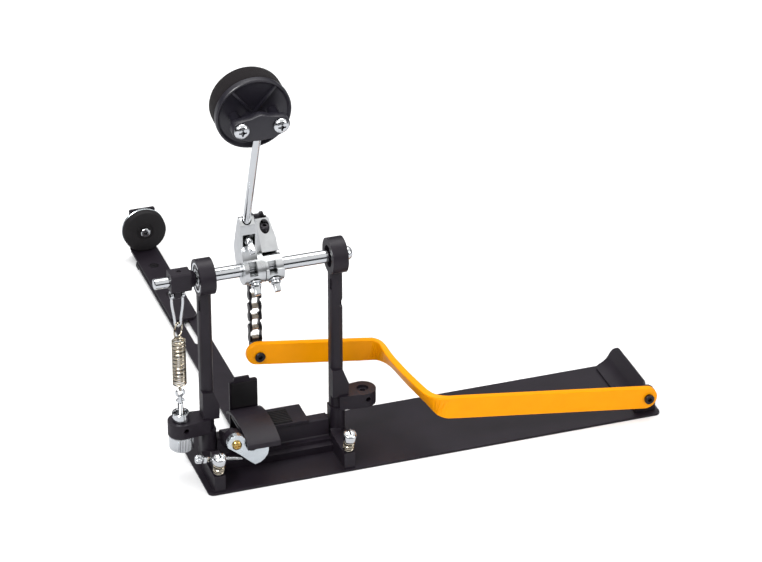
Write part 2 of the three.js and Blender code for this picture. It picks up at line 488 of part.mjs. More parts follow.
function chain() {
  for (const k of [1, 2, 3]) node(`chain_link_${k}`, link(onCam((k - 0.5) * stepAngle), CHAIN.pitch - 1.9), darkSteel);
  node('chain_wrap', link(onCam(3.5 * stepAngle), CHAIN.pitch - 0.6), darkSteel);
  const links = 9;
  const run = Array.from({ length: links }, (_, i) => link(hanging((i + 0.5) * CHAIN.pitch + 0.6), CHAIN.pitch + 0.01));
  node('chain_run', join(...run), darkSteel);
  const x = CHAIN.x;
  const top = SHAFT.z - links * CHAIN.pitch - 0.9;
  const anchor = box(x - 5.5, x + 5.5, 104.4, 118.5, 87, top);
  node('chain_anchor', cut(anchor, rod(V(x, 100, 96.3), V(x, 125, 96.3), 4, 16)), darkSteel);
  const bolt = join(rod(V(x, 94.1, 96.3), V(x, 96.6, 96.3), 5.6, 24), rod(V(x, 96.6, 96.3), V(x, 119.5, 96.3), 3, 16));
  node('chain_bolt', cut(bolt, rod(V(x, 90, 96.3), V(x, 95.6, 96.3), 2.8, 6)), darkSteel);
}

// ---- side lever: front bar, leaning crossbar and rear bar, bent from one flat bar ----
function lever() {
  const { half, thick, pivotX, pivotZ, frontY, backY } = LEVER;
  const rise = (x) => pivotZ + (pivotX - x) * 0.1405;
  const rearRise = (x) => 79.3 + (217.5 - x) * 0.15;
  // [x, y, height, lean of the section, skin steps to the next station]
  const stations = [
    [pivotX - 2.5, frontY, rise(pivotX - 2.5), 0, 1], [300, frontY, rise(300), 0, 1],
    [272, frontY, rise(272), 0, 1], [262, frontY, rise(262), 0, 3],
    [252.5, frontY + 3.2, 56.4, 12, 3], [246.5, 14, 58.2, 24, 2], [242, 26, 60.6, 28, 2],
    [232, 55, 67.6, 28, 2], [226, 76, 73, 28, 2], [222.5, 88, 76, 24, 3], [216.5, 97, 78.8, 12, 3],
    [208, backY, rearRise(208), 0, 1], [198, backY, rearRise(198), 0, 1], [84, backY, rearRise(84), 0, 0],
  ];
  const curve = new THREE.CatmullRomCurve3(stations.map(([x, y, z]) => V(x, y, z)), false, 'centripetal');
  const sectionAt = (i, f) => {
    const t = (i + f) / (stations.length - 1);
    const at = curve.getPoint(t);
    const along = curve.getTangent(t);
    const next = stations[Math.min(i + 1, stations.length - 1)];
    const tilt = rad(stations[i][3] + (next[3] - stations[i][3]) * f);
    const up = V(0, 0, 1).addScaledVector(along, -along.z).normalize().applyAxisAngle(along, -tilt);
    const side = V().crossVectors(along, up);
    const w = thick / 2;
    const c = 0.9;
    return [[-w, -half + c], [-w + c, -half], [w - c, -half], [w, -half + c], [w, half - c],
      [w - c, half], [-w + c, half], [-w, half - c]].map(([a, b]) =>
      at.clone().addScaledVector(side, a).addScaledVector(up, b));
  };
  const sections = stations.flatMap((s, i) => Array.from({ length: s[4] }, (_, k) => sectionAt(i, k / s[4])));
  sections.push(sectionAt(stations.length - 1, 0));
  const roundEnd = (x, y, z) => {
    const w = thick / 2;
    const profile = [[0, -w], [half - 0.9, -w], [half, -w + 0.9], [half, w - 0.9], [half - 0.9, w], [0, w]];
    return turned(profile, V(x, y, z), V(0, 1, 0), 32);
  };
  const body = join(loft(sections), roundEnd(pivotX - 2.5, frontY, rise(pivotX - 2.5)), roundEnd(84, backY, rearRise(84)));
  const pivotHole = rod(V(pivotX, -5, pivotZ), V(pivotX, 10, pivotZ), 5.3, 24);
  const boltHole = rod(V(CHAIN.x, 90, 96.3), V(CHAIN.x, 110, 96.3), 3.1, 16);
  node('lever_arm', cut(body, pivotHole, boltHole), orange);
}

// ---- beater: rod, hub, foam and screws ----
const headTilt = rad(HEAD.tilt);
const headNormal = V(0, Math.cos(headTilt), Math.sin(headTilt));      // towards the drum
const headUp = V(0, -Math.sin(headTilt), Math.cos(headTilt));
const headAt = (a, b, c) => atShaft(ROD.x + a, HEAD.dy, HEAD.dz).addScaledVector(headUp, b).addScaledVector(headNormal, -c);

function headPrism(outline, from, to) {
  const shape = new THREE.Shape(outline.map(([u, v]) => new THREE.Vector2(u, v)));
  const g = new THREE.ExtrudeGeometry(shape, { depth: to - from, bevelEnabled: false });
  const origin = headAt(0, 0, from);
  const m = new THREE.Matrix4().makeBasis(V(1, 0, 0), headUp, headNormal.clone().negate()).setPosition(origin);
  return solid(g.applyMatrix4(m));
}

function beater() {
  node('beater_rod', rod(atLean(ROD.x, ROD.p, ROD.q0), atLean(ROD.x, ROD.p, ROD.q1 + 6), ROD.r, 20), chrome);
  const front = headNormal.clone().negate();
  const cup = turned([[0, -3], [HEAD.r - 0.8, -3], [HEAD.r, -2.2], [HEAD.r, 4.4], [HEAD.r - 2.4, 4.4], [HEAD.r - 3, 0.6], [0, 0.6]],
    headAt(0, 0, 0), front, 32);
  const bosses = [
    ...arc(-20, -1, 9.5, 120, 270, 8), ...arc(20, -1, 9.5, -90, 60, 8), [14, 9.5], [5, 13], [-5, 13], [-14, 9.5],
  ];
  const block = headPrism(bosses, 19, 28.5);
  const core = headPrism([[-14, -13], [14, -13], [14, -3], [7, 2], [-7, 2], [-14, -3]], 0, 19.5);
  const posts = [-20, 20].map((a) => rod(headAt(a, -1, 0), headAt(a, -1, 19.5), 5, 20));
  const keel = headPrism([[-20, -10], [-8, -15.5], [8, -15.5], [20, -10]], 14, 28.5);
  const rib = (angle) => {
    const [u, v] = [Math.cos(rad(angle)), Math.sin(rad(angle))];
    const at = (s, t) => [u * s - v * t, v * s + u * t];
    return headPrism([at(2, -1.2), at(36.4, -1.2), at(36.4, 1.2), at(2, 1.2)], 0.2, 4);
  };
  const rodBore = rod(atLean(ROD.x, ROD.p, 150), atLean(ROD.x, ROD.p, ROD.q1 + 6.3), ROD.r + 0.3, 20);
  const holes = [-20, 20].map((a) => rod(headAt(a, -1, 8), headAt(a, -1, 40), 2.8, 16));
  node('beater_hub', cut(join(cup, block, core, ...posts, keel, rib(52), rib(128)), rodBore, ...holes), plastic);
  const pad = turned([[0, 0], [36.5, 0], [37.8, 1.2], [37.8, HEAD.foam - 1.6], [36.2, HEAD.foam], [0, HEAD.foam]],
    headAt(0, 0, -3.01), headNormal, 32);
  node('beater_foam', pad, foam);
  for (const [name, a] of [['left', -20], ['right', 20]]) {
    const screw = turned([[0, 10], [2.5, 10], [2.5, 28.7], [7.6, 28.7], [8, 29.6], [6.8, 31.9], [3.6, 33.2], [0, 33.5]],
      headAt(a, -1, 0), front, 16);
    const recess = [headPrism([[a - 4, -1.8], [a + 4, -1.8], [a + 4, -0.2], [a - 4, -0.2]], 31, 36),
      headPrism([[a - 0.8, -5], [a + 0.8, -5], [a + 0.8, 3], [a - 0.8, 3]], 31, 36)];
    node(`beater_screw_${name}`, cut(screw, ...recess), chrome);
  }
}

// ---- rear arm: fixed lower bar, sliding upper bar, grip disc ----
function rearArm() {
  const { x, lower, upper, thick, z0, start, end, near, far } = ARM;
  const slot = (y0, y1, w, z) => prism('z', [...arc(x, y1, w, 0, 180, 8), ...arc(x, y0, w, 180, 360, 8)], z - 5, z + 10);
  const bar = prism('z', roundedRect(x - lower / 2, x + lower / 2, start, end, 3), z0, z0 + thick);
  const toPlate = box(x - lower / 2, x + lower / 2, start, 112, PLATE.thick, z0 + 1);
  node('arm_lower_bar', cut(join(bar, toPlate), slot(296, 480, 3.8, z0)), blackPaint);
  const footEnd = box(x - 16, x + 16, 484.6, 494, 0, z0 - 0.01);
  node('arm_foot', footEnd, rubber);

  const u0 = z0 + thick + GAP;
  const u1 = u0 + thick;
  const strip = prism('z', [
    [x - upper / 2, near + 8], [x - upper / 2 + 6, near], [x + upper / 2 - 6, near], [x + upper / 2, near + 8],
    [x + upper / 2, far + 1], [x - upper / 2, far + 1],
  ], u0, u1);
  const upturn = prism('y', [
    ...roundedRect(x - upper / 2, x + upper / 2, u0, 59, 2),
  ], far, far + thick);
  const holes = [404, 473].map((y) => rod(V(x, y, 0), V(x, y, 20), 3.2, 16));
  const seats = [404, 473].map((y) => rod(V(x, y, u1 - 1.4), V(x, y, 20), 5.4, 20));
  const discHole = rod(V(x, 500, DISC.z), V(x, 530, DISC.z), 3.3, 16);
  node('arm_upper_bar', cut(join(strip, upturn), ...holes, ...seats, discHole), blackPaint);
  const screws = [404, 473].map((y) => cut(
    join(rod(V(x, y, u1 - 1.3), V(x, y, u1 - 0.1), 5, 20), rod(V(x, y, 2), V(x, y, u1 - 1.2), 2.9, 16)),
    rod(V(x, y, u1 - 0.7), V(x, y, u1 + 2), 2, 6)));
  node('arm_clamp_strip', join(box(x - 9, x + 9, 396, 478.6, 0.4, 2.4), ...screws), darkSteel);

  const dy = DISC.y0;
  const disc = turned([
    [3.4, dy], [22.5, dy], [24.4, dy + 1], [DISC.r, dy + 2.4], [DISC.r, dy + DISC.thick], [3.4, dy + DISC.thick], [3.4, dy],
  ], V(x, 0, DISC.z), V(0, 1, 0), 32);
  node('grip_disc', disc, rubber);
  const washer = turned([[3.4, dy + 8.2], [25.4, dy + 8.2], [25.4, dy + 10.6], [3.4, dy + 10.6], [3.4, dy + 8.2]],
    V(x, 0, DISC.z), V(0, 1, 0), 32);
  node('disc_plate', washer, zinc);
  const screw = turned([[0, dy - 2.6], [3.6, dy - 2.6], [5.6, dy - 1.2], [5.6, dy - 0.2], [2.9, dy - 0.2], [2.9, dy + 18], [0, dy + 18]],
    V(x, 0, DISC.z), V(0, 1, 0), 24);
  node('disc_screw', cut(screw, rod(V(x, dy - 5, DISC.z), V(x, dy - 0.9, DISC.z), 2.3, 6)), chrome);
  const nut = cut(rod(V(x, far + thick + 0.2, DISC.z), V(x, far + thick + 3.6, DISC.z), 5.6, 6),
    rod(V(x, 515, DISC.z), V(x, 530, DISC.z), 3.2, 16));
  node('disc_nut', nut, darkSteel);
}

basePlate();
heelStop();
pivotBracket();
upright('left');
upright('right');
crossBeam();
platform();
clampRocker();
hookLever();
clampBolt();
spur('left');
spur('right');
shaft();
springRocker();
stirrup();
tensionSpring();
springAnchor();
clampBolts();
beaterClamp();
chainCam();
chain();
lever();
beater();
rearArm();

export default pedal;
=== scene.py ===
"""Single chain-drive foot pedal for a cajon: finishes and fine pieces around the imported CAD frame."""

import json
import math

import bmesh
import bpy
from mathutils import Matrix, Vector


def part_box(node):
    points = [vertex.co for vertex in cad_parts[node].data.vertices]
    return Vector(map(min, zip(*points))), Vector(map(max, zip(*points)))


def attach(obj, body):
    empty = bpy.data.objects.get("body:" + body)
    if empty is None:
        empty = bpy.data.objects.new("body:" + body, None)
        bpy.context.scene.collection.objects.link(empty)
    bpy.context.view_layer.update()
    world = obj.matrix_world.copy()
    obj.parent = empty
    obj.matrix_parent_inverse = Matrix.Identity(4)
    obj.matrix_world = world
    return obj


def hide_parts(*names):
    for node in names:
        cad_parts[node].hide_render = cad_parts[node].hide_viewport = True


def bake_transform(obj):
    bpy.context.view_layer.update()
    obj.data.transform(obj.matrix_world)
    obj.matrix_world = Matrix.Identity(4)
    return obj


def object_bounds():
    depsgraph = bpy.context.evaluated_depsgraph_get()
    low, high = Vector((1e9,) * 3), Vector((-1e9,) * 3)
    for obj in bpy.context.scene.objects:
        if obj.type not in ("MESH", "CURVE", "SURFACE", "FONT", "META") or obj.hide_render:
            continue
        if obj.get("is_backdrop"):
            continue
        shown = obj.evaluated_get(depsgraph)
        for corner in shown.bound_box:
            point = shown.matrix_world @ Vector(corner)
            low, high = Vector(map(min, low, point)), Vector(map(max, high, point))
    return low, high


MM = 0.001
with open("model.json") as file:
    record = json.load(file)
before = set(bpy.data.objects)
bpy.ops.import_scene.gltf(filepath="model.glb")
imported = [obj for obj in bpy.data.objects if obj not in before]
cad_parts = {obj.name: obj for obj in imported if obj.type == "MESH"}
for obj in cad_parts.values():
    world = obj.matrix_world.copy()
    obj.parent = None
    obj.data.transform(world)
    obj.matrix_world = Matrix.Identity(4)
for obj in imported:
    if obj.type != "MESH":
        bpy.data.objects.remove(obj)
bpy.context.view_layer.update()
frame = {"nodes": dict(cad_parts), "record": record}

# ---- places, in drafting millimetres from the plate's front left corner ----
CORNER = Vector(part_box("base_plate")[0])
X, Y, Z = Vector((1, 0, 0)), Vector((0, 1, 0)), Vector((0, 0, 1))


def at(x, y, z):
    return CORNER + Vector((x, y, z)) * MM


def drafted(point):
    return (Vector(point) - CORNER) / MM


def middle(node):
    low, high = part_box(node)
    return drafted((Vector(low) + Vector(high)) / 2)


SHAFT = middle("drive_shaft")
SHAFT_Y, SHAFT_Z = SHAFT.y, SHAFT.z
CHAIN_X = middle("chain_run").x
CHAIN_PITCH = 12.7
CHAIN_RADIUS = 55.0                                  # of the chain's pins round the shaft
LINK_THICK = 1.4
TOP_LINK_DIP = math.radians(36)                      # how far the last link tips into the cam
LEAN = math.radians(20.5)                            # of the beater rod from upright
ROD_X = middle("beater_rod").x
ROD_OFFSET = 22.4                                    # from the shaft's axis to the rod's
ROD_FOOT, ROD_TOP = 6, 188                           # along the rod, from the shaft's level
KEY_BOLT_HEIGHT = 31.5                               # along the rod, from the shaft's level
HEAD_TILT = math.radians(6)
HEAD_Y, HEAD_Z = -25.4, 189.5                        # middle of the beater's dish from the shaft
HEAD_SCREW_X = 20
HEAD_ROUND = 96                                      # sides of the beater's turned pieces
FOAM_DEPTH = 24
SPUR_TILT = math.radians(16)
SPUR_Y, SPUR_Z = 8, 20.5
SPRING_X = middle("tension_spring").x
COIL_TOP = 157.0
EYE_Z = 94                                           # middle of the eye that holds the spring's foot
PIN_DROP = 15.5                                      # from the shaft's axis to the stirrup's pin
SHAFT_STEPS = (7.2, 22.5, 150)                       # across the pedal, where the shaft changes thickness
LEVER_PIVOT_X, LEVER_PIVOT_Z = 485, 22.8
CHAIN_BOLT_FACE, CHAIN_BOLT_Z = 96.6, 96.3
DISC_X, DISC_Z, DISC_SCREW_SEAT = 74.8, 34.5, 506.8
CLAMP_SCREW_START, CLAMP_SCREW_END = (-8, 20, 34.8), (41.5, 20, 26.5)
CLAMP_BOLT_AXIS = Vector((0, -0.76, -0.65)).normalized()
CAM_SCREW_SPOT = (86.6, 17.35, 36.7)                 # across the pedal, then from the shaft's axis
CAM_SCREW_AXIS = Vector((0, -0.15, 0.9887))
CAMERA_SPOT = (-849.5, -3029.7, 2016.7)
CAMERA_FORWARD, CAMERA_UP = (0.2819, 0.8252, -0.4894), (0.1582, 0.4631, 0.8720)
CAMERA_LENS, SENSOR_WIDTH = 171.95, 36
FLOOR_REACH, FLOOR_GAP = 8.0, 0.0002                 # in metres


# ---- materials ----
def material(name, color, rough, metal=0.0, vary=0.1, broad=60, fine=1500, bump=0.03, sheen=0.0,
             rough_vary=0.08, gloss=0.5, painted_shade=0.0):
    """Clouded colour and roughness with a fine relief; the last argument paints shade, darkening the colour
    in crevices up to that many mm wide.
    """
    mat = bpy.data.materials.new(name)
    mat.use_nodes = True
    nodes, links = mat.node_tree.nodes, mat.node_tree.links
    shader = nodes["Principled BSDF"]
    coord = nodes.new("ShaderNodeTexCoord")

    def noise(scale, detail):
        node = nodes.new("ShaderNodeTexNoise")
        node.inputs["Scale"].default_value = scale
        node.inputs["Detail"].default_value = detail
        links.new(coord.outputs["Object"], node.inputs["Vector"])
        return node.outputs["Fac"]

    cloud, grain = noise(broad, 4), noise(fine, 2)
    ramp = nodes.new("ShaderNodeValToRGB")
    ramp.color_ramp.elements[0].position = 0.3
    ramp.color_ramp.elements[1].position = 0.7
    ramp.color_ramp.elements[0].color = (*[c * (1 - vary) for c in color], 1)
    ramp.color_ramp.elements[1].color = (*[min(1, c * (1 + vary)) for c in color], 1)
    links.new(cloud, ramp.inputs["Fac"])
    links.new(ramp.outputs["Color"], shader.inputs["Base Color"])
    # Painted shade: ambient occlusion darkens the base colour in crevices and recesses, where shade falls.
    if painted_shade:
        kinds = ("AmbientOcclusion", "MapRange", "Mix")
        corner, depth, shade_darkening = (nodes.new(f"ShaderNode{kind}") for kind in kinds)
        corner.samples = 8
        corner.inputs["Distance"].default_value = painted_shade * MM
        depth.inputs["From Min"].default_value, depth.inputs["From Max"].default_value = 0.3, 0.75
        shade_darkening.data_type = "RGBA"
        shade_darkening.inputs["A"].default_value = (*[c * 0.05 for c in color], 1)
        links.new(corner.outputs["AO"], depth.inputs["Value"])
        links.new(depth.outputs["Result"], shade_darkening.inputs["Factor"])
        links.new(ramp.outputs["Color"], shade_darkening.inputs["B"])
        links.new(shade_darkening.outputs["Result"], shader.inputs["Base Color"])
    spread = nodes.new("ShaderNodeMapRange")
    spread.inputs["To Min"].default_value = max(0.02, rough - rough_vary)
    spread.inputs["To Max"].default_value = min(1, rough + rough_vary)
    links.new(cloud, spread.inputs["Value"])
    links.new(spread.outputs["Result"], shader.inputs["Roughness"])
    relief = nodes.new("ShaderNodeBump")
    relief.inputs["Strength"].default_value = bump
    relief.inputs["Distance"].default_value = 0.0004
    links.new(grain, relief.inputs["Height"])
    links.new(relief.outputs["Normal"], shader.inputs["Normal"])
    shader.inputs["Metallic"].default_value = metal
    shader.inputs["Sheen Weight"].default_value = sheen
    shader.inputs["Specular IOR Level"].default_value = gloss
    return mat


# Chrome, cast alloy and the spring's nickel get painted shade: darker colour in their crevices.
FINISHES = {
    "black_paint": dict(color=(0.0122, 0.0090, 0.0138), rough=0.42, vary=0.14, broad=45, fine=2600,
                        bump=0.14, gloss=0.32),
    "orange_paint": dict(color=(0.86, 0.31, 0.0), rough=0.36, vary=0.03, fine=1600, bump=0.05, gloss=0.1),
    "chrome": dict(color=(0.84, 0.86, 0.88), rough=0.1, metal=1, vary=0.03, fine=900, bump=0.015,
                   rough_vary=0.04, painted_shade=5),
    "cast_alloy": dict(color=(0.77, 0.785, 0.79), rough=0.3, metal=1, vary=0.07, broad=110, fine=700,
                       bump=0.1, painted_shade=9),
    "zinc": dict(color=(0.84, 0.90, 0.94), rough=0.25, metal=1, vary=0.08, broad=160, fine=1300, bump=0.06),
    "nickel_spring": dict(color=(0.66, 0.59, 0.47), rough=0.12, metal=1, vary=0.05, bump=0.03, painted_shade=6),
    "brass": dict(color=(0.66, 0.45, 0.14), rough=0.2, metal=1, vary=0.08, bump=0.03),
    "dark_steel": dict(color=(0.035, 0.032, 0.036), rough=0.32, metal=0.8, vary=0.2, broad=200, bump=0.05),
    "rubber": dict(color=(0.010, 0.009, 0.010), rough=0.6, vary=0.15, fine=2200, bump=0.2, gloss=0.25),
    "plastic": dict(color=(0.0125, 0.0112, 0.0170), rough=0.33, vary=0.1, fine=1800, bump=0.08, gloss=0.6),
    "foam": dict(color=(0.0115, 0.0095, 0.0105), rough=0.95, vary=0.25, broad=900, fine=2600, bump=0.7,
                 sheen=0.03, gloss=0.15),
}
MATERIALS = {name: material(name, **finish) for name, finish in FINISHES.items()}
LINK_STEEL = material("link_rollers", color=(0.42, 0.37, 0.31), rough=0.3, metal=1, vary=0.15, broad=300)


# ---- shape helpers ----
def piece(name, mesh_data, body, slot_name, replaced=(), finish=None, smooth=35):
    """A shown piece on a body, in a record's slot; it stands for the replaced CAD nodes."""
    mesh = bpy.data.meshes.new(name)
    mesh_data.to_mesh(mesh)
    mesh_data.free()
    mesh.materials.append(finish or MATERIALS[slot_name])
    mesh.shade_smooth()
    mesh.set_sharp_from_angle(angle=math.radians(smooth))
    obj = bpy.data.objects.new(name, mesh)
    bpy.context.scene.collection.objects.link(obj)
    if replaced:
        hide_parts(*replaced)
    if body:
        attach(obj, body)
    return obj


def turn_matrix(origin, axis):
    """A frame at origin whose z runs along axis."""
    return Matrix.Translation(origin) @ Z.rotation_difference(Vector(axis).normalized()).to_matrix().to_4x4()


def lathe(profile, origin, axis, sides=48, flutes=0, depth=0.0):
    """Turned solid: profile of (radius, height) in mm about an axis; flutes groove its widest part."""
    bm = bmesh.new()
    place = turn_matrix(origin, axis)
    widest = max(r for r, _ in profile)
    rings = []
    for r, h in profile:
        if r < 1e-6:
            rings.append([bm.verts.new(place @ Vector((0, 0, h * MM)))])
            continue
        ring = []
        for i in range(sides):
            a = 2 * math.pi * i / sides
            cut = depth * (0.5 - 0.5 * math.cos(flutes * a)) if flutes and r > 0.9 * widest else 0
            spot = Vector(((r - cut) * math.cos(a) * MM, (r - cut) * math.sin(a) * MM, h * MM))
            ring.append(bm.verts.new(place @ spot))
        rings.append(ring)
    closed = profile[0] == profile[-1]
    if closed:
        for v in rings.pop():
            bm.verts.remove(v)
        rings.append(rings[0])
    for a, b in zip(rings, rings[1:]):
        for i in range(sides):
            j = (i + 1) % sides
            quad = [a[i % len(a)], a[j % len(a)], b[j % len(b)], b[i % len(b)]]
            face = list(dict.fromkeys(quad))
            if len(face) > 2:
                bm.faces.new(face)
    bmesh.ops.recalc_face_normals(bm, faces=bm.faces)
    return bm


def tube(points, radius, sides=10, closed=False):
    """Round wire through points in metres."""
    bm = bmesh.new()
    n = len(points)
    tangents = []
    for i in range(n):
        a = points[(i - 1) % n] if closed or i else points[0]
        b = points[(i + 1) % n] if closed or i < n - 1 else points[-1]
        tangents.append((b - a).normalized())
    side = tangents[0].orthogonal().normalized()
    rings = []
    for i in range(n):
        if i:
            side = (tangents[i - 1].rotation_difference(tangents[i]) @ side).normalized()
        other = tangents[i].cross(side)
        ring = []
        for k in range(sides):
            a = 2 * math.pi * k / sides
            ring.append(bm.verts.new(points[i] + (side * math.cos(a) + other * math.sin(a)) * radius * MM))
        rings.append(ring)
    pairs = list(zip(rings, rings[1:]))
    if closed:
        offset = min(range(sides), key=lambda k: (rings[0][k].co - rings[-1][0].co).length)
        pairs.append((rings[-1], rings[0][offset:] + rings[0][:offset]))
    for a, b in pairs:
        for k in range(sides):
            bm.faces.new((a[k], a[(k + 1) % sides], b[(k + 1) % sides], b[k]))
    if not closed:
        bm.faces.new(rings[0][::-1])
        bm.faces.new(rings[-1])
    bmesh.ops.recalc_face_normals(bm, faces=bm.faces)
    return bm


def slab(outline, place, depth, bevel=0.0, segments=2):
    """Outline (mm, in the plane of place's x and y) given a depth along place's z, with eased edges."""
    bm = bmesh.new()
    base = [bm.verts.new(Vector((u * MM, v * MM, 0))) for u, v in outline]
    face = bm.faces.new(base)
    grown = bmesh.ops.extrude_face_region(bm, geom=[face])
    far_side = [v for v in grown["geom"] if isinstance(v, bmesh.types.BMVert)]
    bmesh.ops.translate(bm, vec=(0, 0, depth * MM), verts=far_side)
    bmesh.ops.recalc_face_normals(bm, faces=bm.faces)
    if bevel:
        edges = [e for e in bm.edges if e.calc_face_angle(0) > math.radians(28)]
        bmesh.ops.bevel(bm, geom=edges, offset=bevel * MM, segments=segments, profile=0.5, affect="EDGES")
    bmesh.ops.transform(bm, matrix=place, verts=bm.verts)
    return bm


def block(low, high, bevel=0.0):
    """A box between two drafting corners."""
    outline = [(low[0], low[1]), (high[0], low[1]), (high[0], high[1]), (low[0], high[1])]
    return slab(outline, Matrix.Translation(CORNER + Vector((0, 0, low[2] * MM))), high[2] - low[2], bevel)


def merged(*parts):
    """Several closed shells as one mesh."""
    whole = bmesh.new()
    for part in parts:
        mesh = bpy.data.meshes.new("part")
        part.to_mesh(mesh)
        part.free()
        whole.from_mesh(mesh)
        bpy.data.meshes.remove(mesh)
    return whole


def carved(body_mesh, *cutters):
    """The first solid with the others cut away."""
    objects = []
    for bm in (body_mesh, *cutters):
        mesh = bpy.data.meshes.new("carve")
        bm.to_mesh(mesh)
        bm.free()
        obj = bpy.data.objects.new("carve", mesh)
        bpy.context.scene.collection.objects.link(obj)
        objects.append(obj)
    for cutter in objects[1:]:
        step = objects[0].modifiers.new("cut", "BOOLEAN")
        step.operation, step.solver, step.object = "DIFFERENCE", "EXACT", cutter
    result = bmesh.new()
    result.from_object(objects[0], bpy.context.evaluated_depsgraph_get())
    for obj in objects:
        bpy.data.objects.remove(obj)
    return result


def arc(cx, cy, r, a0, a1, n=10):
    angles = [math.radians(a0 + (a1 - a0) * i / n) for i in range(n + 1)]
    return [(cx + r * math.cos(a), cy + r * math.sin(a)) for a in angles]


def thread(r, low, high, pitch=1.0, depth=0.45):
    """Profile of a screw thread's ridges between two heights."""
    points, h = [], low
    while h < high:
        points += [(r - depth, h), (r, h + pitch / 2)]
        h += pitch
    return points + [(r - depth, high)]


def frame_on(origin, x_axis, y_axis):
    """A frame at origin whose x and y run along two square directions."""
    x_axis, y_axis = Vector(x_axis).normalized(), Vector(y_axis).normalized()
    turn = Matrix((x_axis, y_axis, x_axis.cross(y_axis))).transposed().to_4x4()
    return Matrix.Translation(origin) @ turn


# ---- finishes on the CAD pieces that keep their shape, with eased edges ----
EASED = {"base_plate": 0.7, "lever_arm": 0.35, "beater_clamp": 0.9, "chain_cam": 0.8, "hook_lever": 1.0,
         "left_upright": 0.8, "right_upright": 0.8, "cross_beam": 0.6, "grip_disc": 0.6, "spring_rocker": 0.7}
slots = {part["node"]: part["material_slot"] for part in frame["record"]["subparts"]}
for node_name, obj in frame["nodes"].items():
    slot_name = slots[node_name]
    obj.data.materials.clear()
    obj.data.materials.append(MATERIALS[slot_name])
    weld = obj.modifiers.new("weld", "WELD")
    weld.merge_threshold = 1e-6
    flatten = obj.modifiers.new("flatten", "DECIMATE")
    flatten.decimate_type = "DISSOLVE"
    flatten.angle_limit = math.radians(0.5)
    ease = obj.modifiers.new("ease", "BEVEL")
    ease.width = EASED.get(node_name, 0.4) * MM
    ease.segments = 2
    ease.limit_method = "ANGLE"
    ease.angle_limit = math.radians(32)
    shade = obj.modifiers.new("shade", "WEIGHTED_NORMAL")
    shade.mode = "FACE_AREA_WITH_ANGLE"
    shade.weight = 90
    for polygon in obj.data.polygons:
        polygon.use_smooth = True


# ---- shaft and bearings ----
def shaft_point(x, y=0.0, z=0.0):
    """x across the pedal, y and z from the shaft's axis."""
    return at(x, SHAFT_Y + y, SHAFT_Z + z)


def shaft_pieces():
    low, high = (drafted(c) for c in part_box("drive_shaft"))
    main, journal, stub = 6.8, 6.0, 5.5
    end = high.x - low.x
    shoulders = [x - low.x for x in SHAFT_STEPS]
    profile = [(0, 0), (stub - 0.8, 0), (stub, 0.8), (stub, shoulders[0]), (journal, shoulders[0] + 0.3),
               (journal, shoulders[1]), (main - 0.3, shoulders[1]), (main, shoulders[1] + 0.3),
               (main, shoulders[2] - 0.3), (journal, shoulders[2]), (journal, end), (0, end)]
    piece("shaft", lathe(profile, shaft_point(low.x), X, 64), "shaft", "chrome", ["drive_shaft"])
    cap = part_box("shaft_end_cap")
    start, length = drafted(cap[0]).x, drafted(cap[1]).x - drafted(cap[0]).x
    wide, brim = 7.2, 3.2
    dome = [(0, 0), (6.4, 0), (wide, 0.8), (wide, brim)]
    rise = length - brim
    dome += [(wide * math.cos(a), brim + rise * math.sin(a)) for a in map(math.radians, (20, 40, 60, 75))]
    turned_cap = lathe(dome + [(0, length)], shaft_point(start), X, 48)
    piece("shaft_end", turned_cap, "shaft", "chrome", ["shaft_end_cap"])


def bearings():
    for side in ("left", "right"):
        node_name = f"{side}_bearing"
        low, high = (drafted(c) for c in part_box(node_name))
        w = high.x - low.x
        outer = [(13.2, 0.3), (13.5, 0), (15.4, 0), (15.75, 0.4), (15.75, w - 0.4), (15.4, w), (13.5, w),
                 (13.2, w - 0.3), (13.2, 0.3)]
        inner = [(6.3, 0.4), (6.6, 0), (8.7, 0), (9, 0.3), (9, w - 0.3), (8.7, w), (6.6, w),
                 (6.3, w - 0.4), (6.3, 0.4)]
        races = merged(lathe(outer, shaft_point(low.x), X, 64), lathe(inner, shaft_point(low.x), X, 64))
        piece(f"{side}_races", races, "frame", "chrome", [node_name])
        shield = [(9.2, 0.8), (13, 0.8), (13, w - 0.8), (9.2, w - 0.8), (9.2, 0.8)]
        piece(f"{side}_shield", lathe(shield, shaft_point(low.x), X, 48), "frame", "dark_steel")


# ---- springs ----
def helix(origin, axis, radius, low, high, turns, steps=18):
    """Centreline of a coil about an axis, from one height to another."""
    radius, low, high = radius * MM, low * MM, high * MM
    place = turn_matrix(origin, axis)
    count = int(turns * steps)
    points = []
    for i in range(count + 1):
        a = 2 * math.pi * turns * i / count
        spot = Vector((radius * math.cos(a), radius * math.sin(a), low + (high - low) * i / count))
        points.append(place @ spot)
    return points


def ring_points(centre, u, v, radius, a0=0, a1=360, n=28):
    angles = [math.radians(a0 + (a1 - a0) * i / n) for i in range(n + 1)]
    return [centre + (u * math.cos(a) + v * math.sin(a)) * radius * MM for a in angles]


